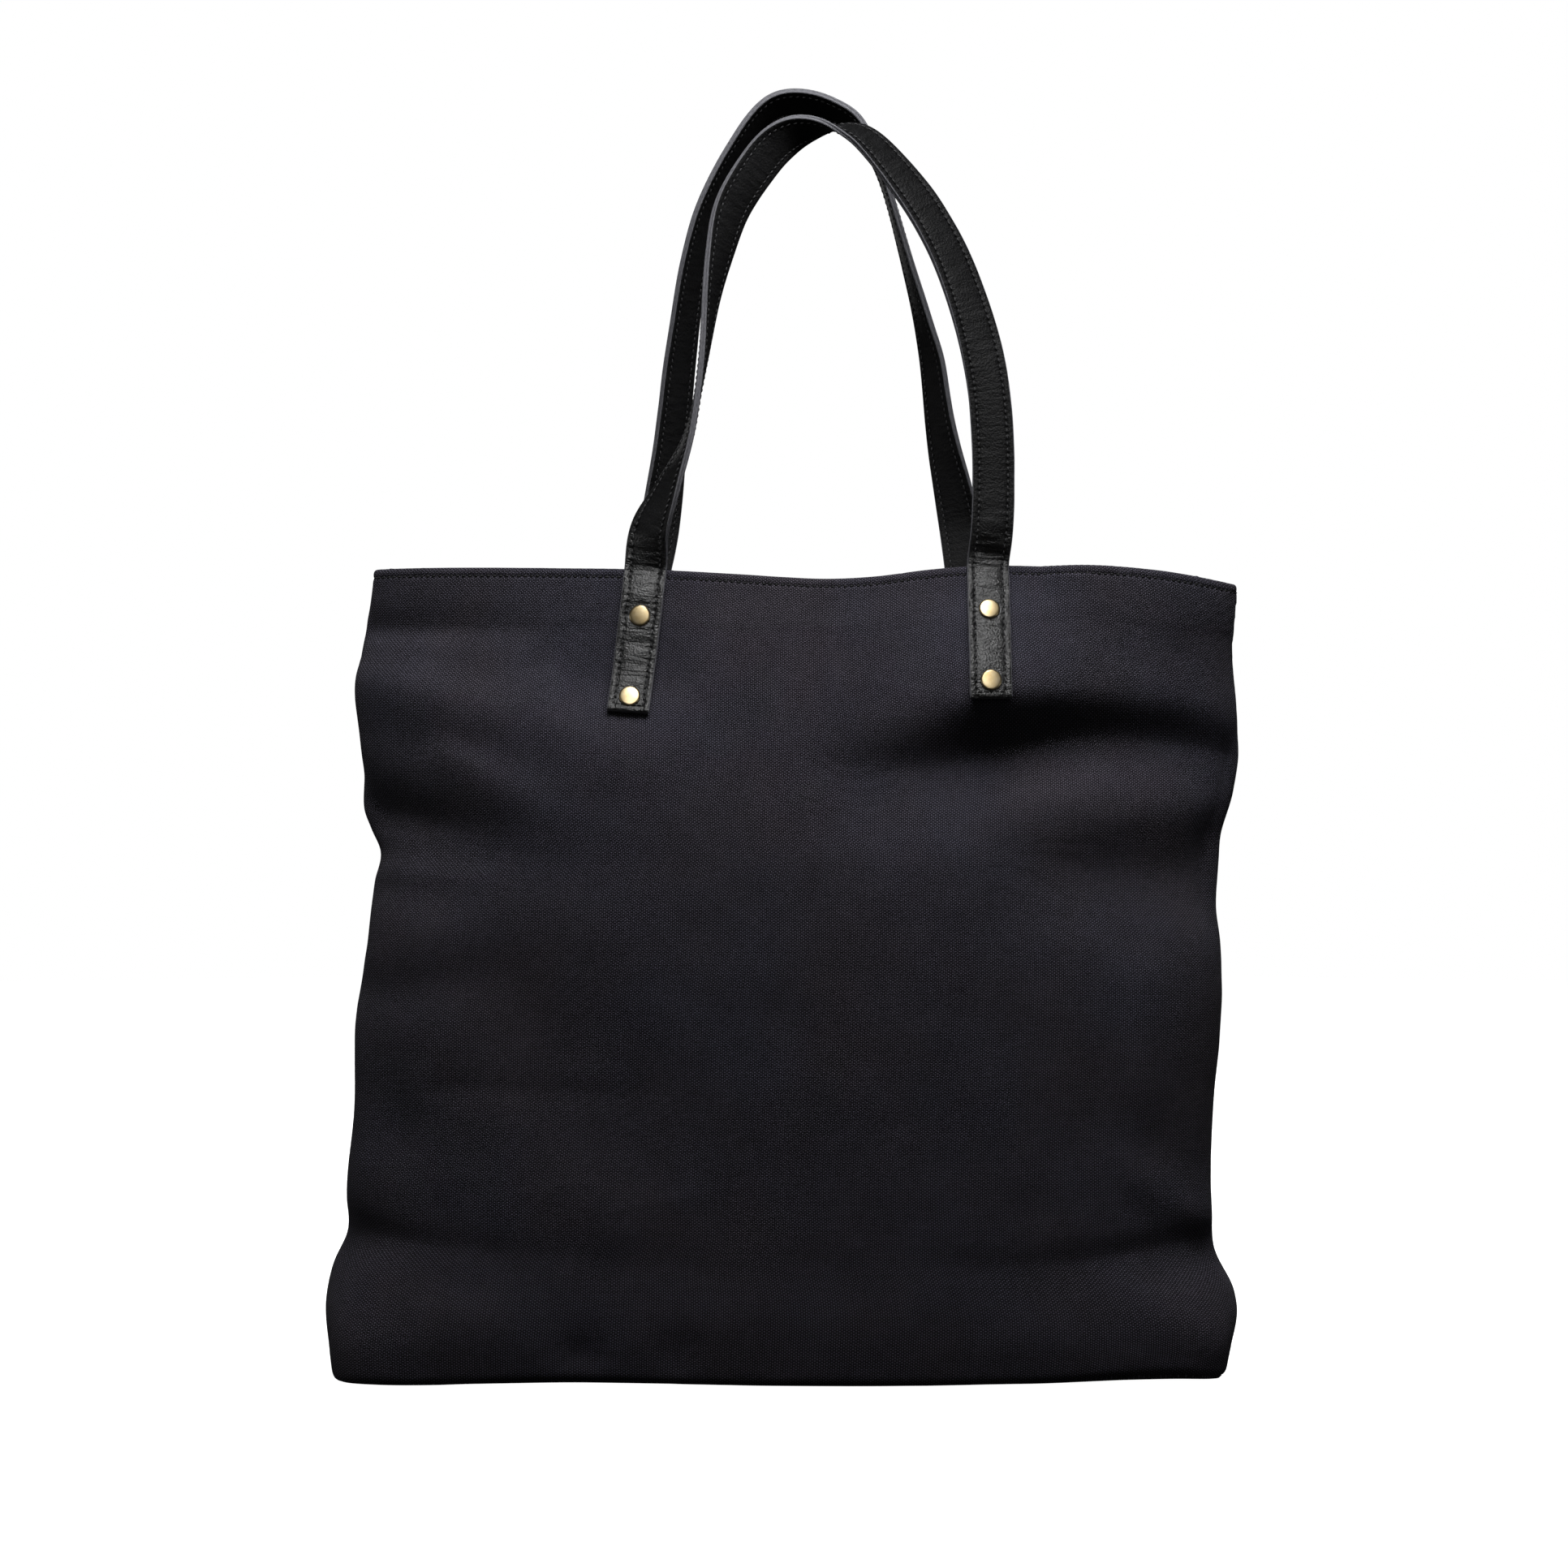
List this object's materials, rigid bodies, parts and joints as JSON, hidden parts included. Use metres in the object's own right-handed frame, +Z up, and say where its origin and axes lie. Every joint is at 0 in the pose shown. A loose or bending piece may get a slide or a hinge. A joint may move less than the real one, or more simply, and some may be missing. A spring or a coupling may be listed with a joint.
{
  "type": "tote bag",
  "caption": "Soft canvas tote bag with an open mouth, a boxed base and riveted leather strap handles that fold down outside.",
  "frame": {"origin": "centre of the base, on the floor", "axes": "+Z up; -Y the front panel's side; +X to the right seen from the front, along the bag's width"},
  "size_m": [0.4342, 0.1324, 0.6236],
  "materials": {
    "canvas": "matt plain-weave cotton canvas",
    "canvas_inside": "matt plain-weave cotton canvas",
    "leather": "smooth grain, low sheen",
    "leather_flesh": "inner face, matt",
    "brass": "polished"
  },
  "bodies": {
    "bag": {"front_panel": "canvas", "back_panel": "canvas", "base_panel": "canvas", "front_facing": "canvas_inside", "back_facing": "canvas_inside", "left_seam_binding": "canvas_inside", "right_seam_binding": "canvas_inside", "front_left_backing": "canvas_inside", "front_right_backing": "canvas_inside", "back_left_backing": "canvas_inside", "back_right_backing": "canvas_inside", "front_left_tab_outer_ply": "leather", "front_left_tab_inner_ply": "leather_flesh", "front_right_tab_outer_ply": "leather", "front_right_tab_inner_ply": "leather_flesh", "back_left_tab_outer_ply": "leather", "back_left_tab_inner_ply": "leather_flesh", "back_right_tab_outer_ply": "leather", "back_right_tab_inner_ply": "leather_flesh", "front_left_upper_rivet_cap": "brass", "front_left_lower_rivet_cap": "brass", "front_right_upper_rivet_cap": "brass", "front_right_lower_rivet_cap": "brass", "back_left_upper_rivet_cap": "brass", "back_left_lower_rivet_cap": "brass", "back_right_upper_rivet_cap": "brass", "back_right_lower_rivet_cap": "brass", "front_left_upper_rivet_post": "brass", "front_left_lower_rivet_post": "brass", "front_right_upper_rivet_post": "brass", "front_right_lower_rivet_post": "brass", "back_left_upper_rivet_post": "brass", "back_left_lower_rivet_post": "brass", "back_right_upper_rivet_post": "brass", "back_right_lower_rivet_post": "brass"},
    "front_handle": {"front_loop_outer_ply": "leather", "front_loop_inner_ply": "leather_flesh"},
    "back_handle": {"back_loop_outer_ply": "leather", "back_loop_inner_ply": "leather_flesh"}
  },
  "joints": [
    {"name": "front_handle_fold", "type": "hinge", "parent": "bag", "child": "front_handle", "pos_m": [0, -0.0375, 0.3862], "axis": [1, 0, 0], "range_deg": [0, 150]},
    {"name": "back_handle_fold", "type": "hinge", "parent": "bag", "child": "back_handle", "pos_m": [0, 0.0375, 0.3862], "axis": [-1, 0, 0], "range_deg": [0, 150]}
  ]
}
